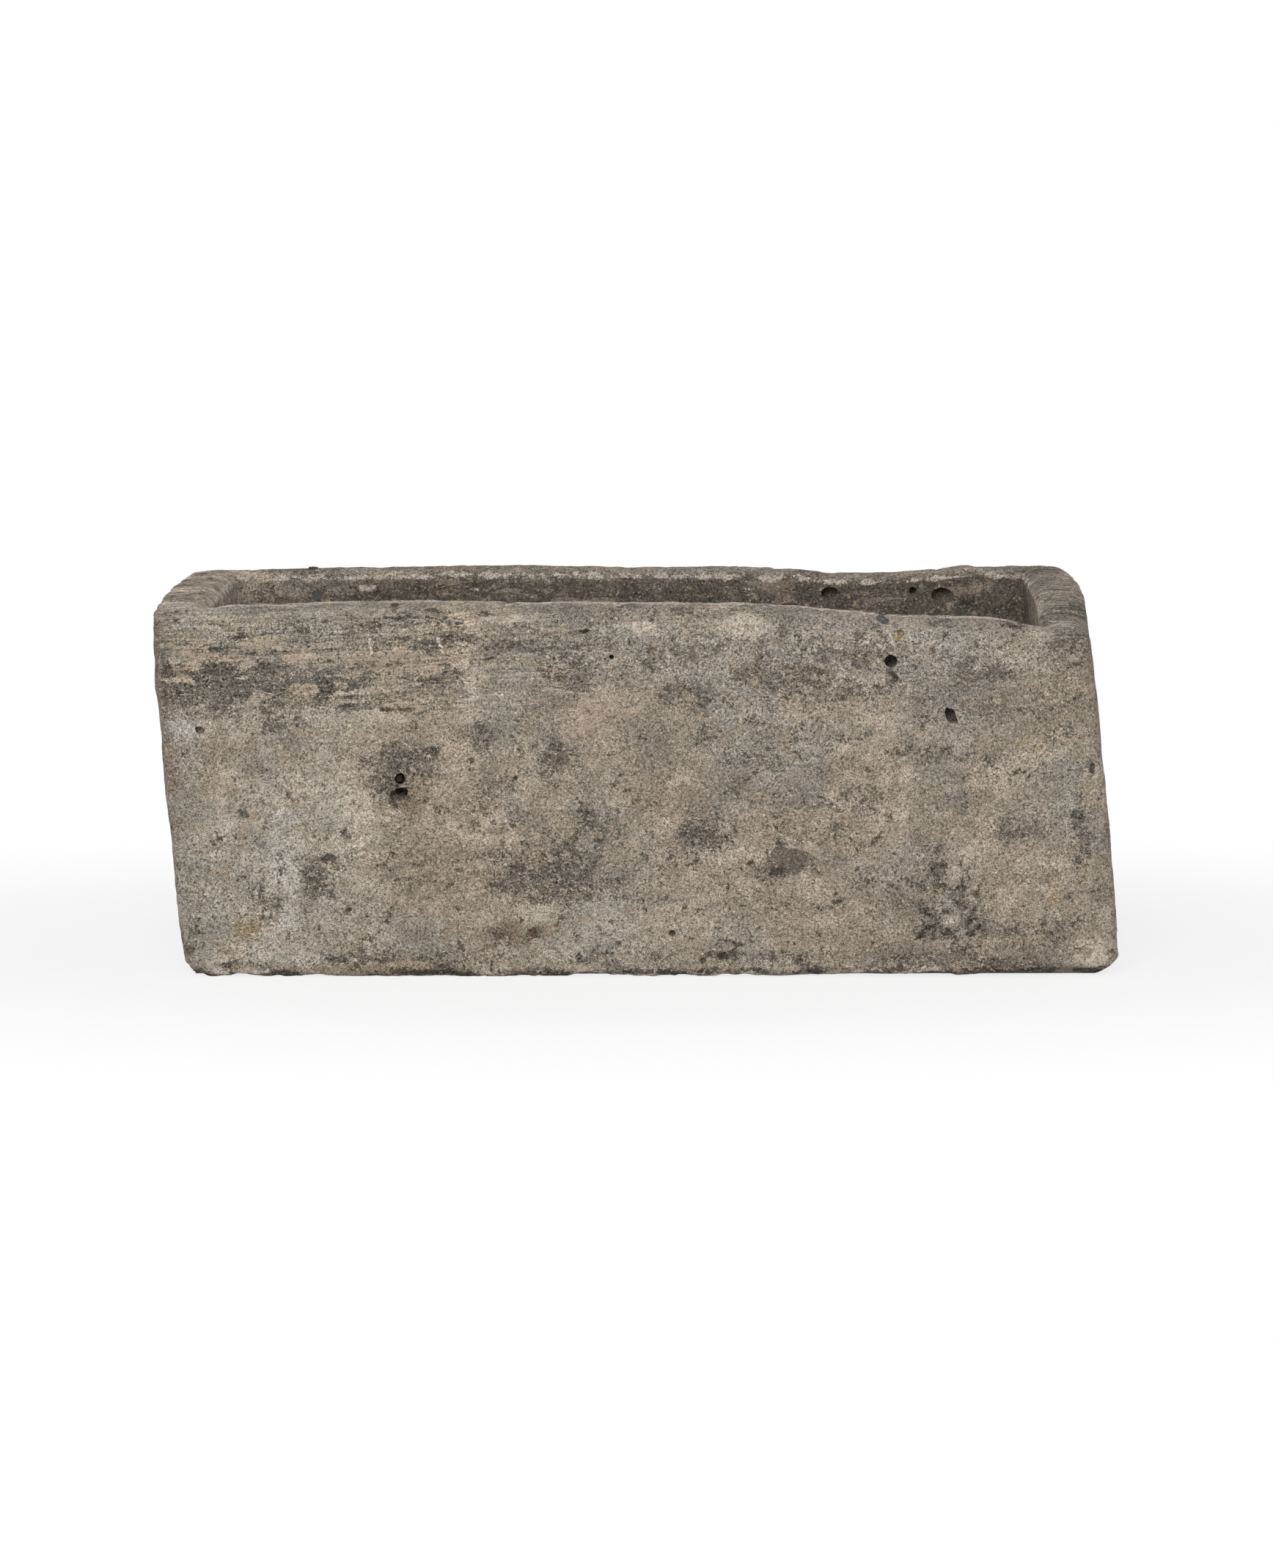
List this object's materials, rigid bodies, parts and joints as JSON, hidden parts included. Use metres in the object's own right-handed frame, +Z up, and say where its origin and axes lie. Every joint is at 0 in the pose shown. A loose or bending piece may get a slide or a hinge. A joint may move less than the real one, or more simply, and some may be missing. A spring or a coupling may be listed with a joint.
{
  "type": "stone trough sink",
  "caption": "Weathered rectangular sandstone trough sink with leaning ends, worn rounded rim, brass waste and lift-out rubber plug with a pull ring.",
  "frame": {"origin": "middle of the bounding box on the surface that the trough stands on", "axes": "+X along the trough to the right, +Y from the front to the back, +Z up"},
  "size_m": [1.1312, 0.45, 0.441],
  "materials": {
    "sandstone": "matte",
    "aged_brass": "satin",
    "black_rubber": "matte",
    "white_nylon": "matte",
    "rusted_iron": "matte",
    "lime_mortar": "matte"
  },
  "bodies": {
    "trough": {"trough_body": "sandstone", "front_rim_pin": "rusted_iron", "back_rim_pin": "rusted_iron", "front_stub": "rusted_iron", "mortar_plug": "lime_mortar", "flange_seal": "black_rubber", "waste_body": "aged_brass", "lower_washer": "black_rubber", "slip_washer": "white_nylon", "backnut": "aged_brass"},
    "plug": {"plug": "black_rubber", "plug_boss": "aged_brass"},
    "ring": {"pull_ring": "aged_brass"}
  },
  "joints": [
    {"name": "plug_lift", "type": "slide", "parent": "trough", "child": "plug", "axis": [0, 0, 1], "range_m": [0, 0.4]},
    {"name": "ring_swing", "type": "hinge", "parent": "plug", "child": "ring", "pos_m": [0.3, 0, 0.0963], "axis": [-1, 0, 0], "range_deg": [0, 208.9]}
  ]
}
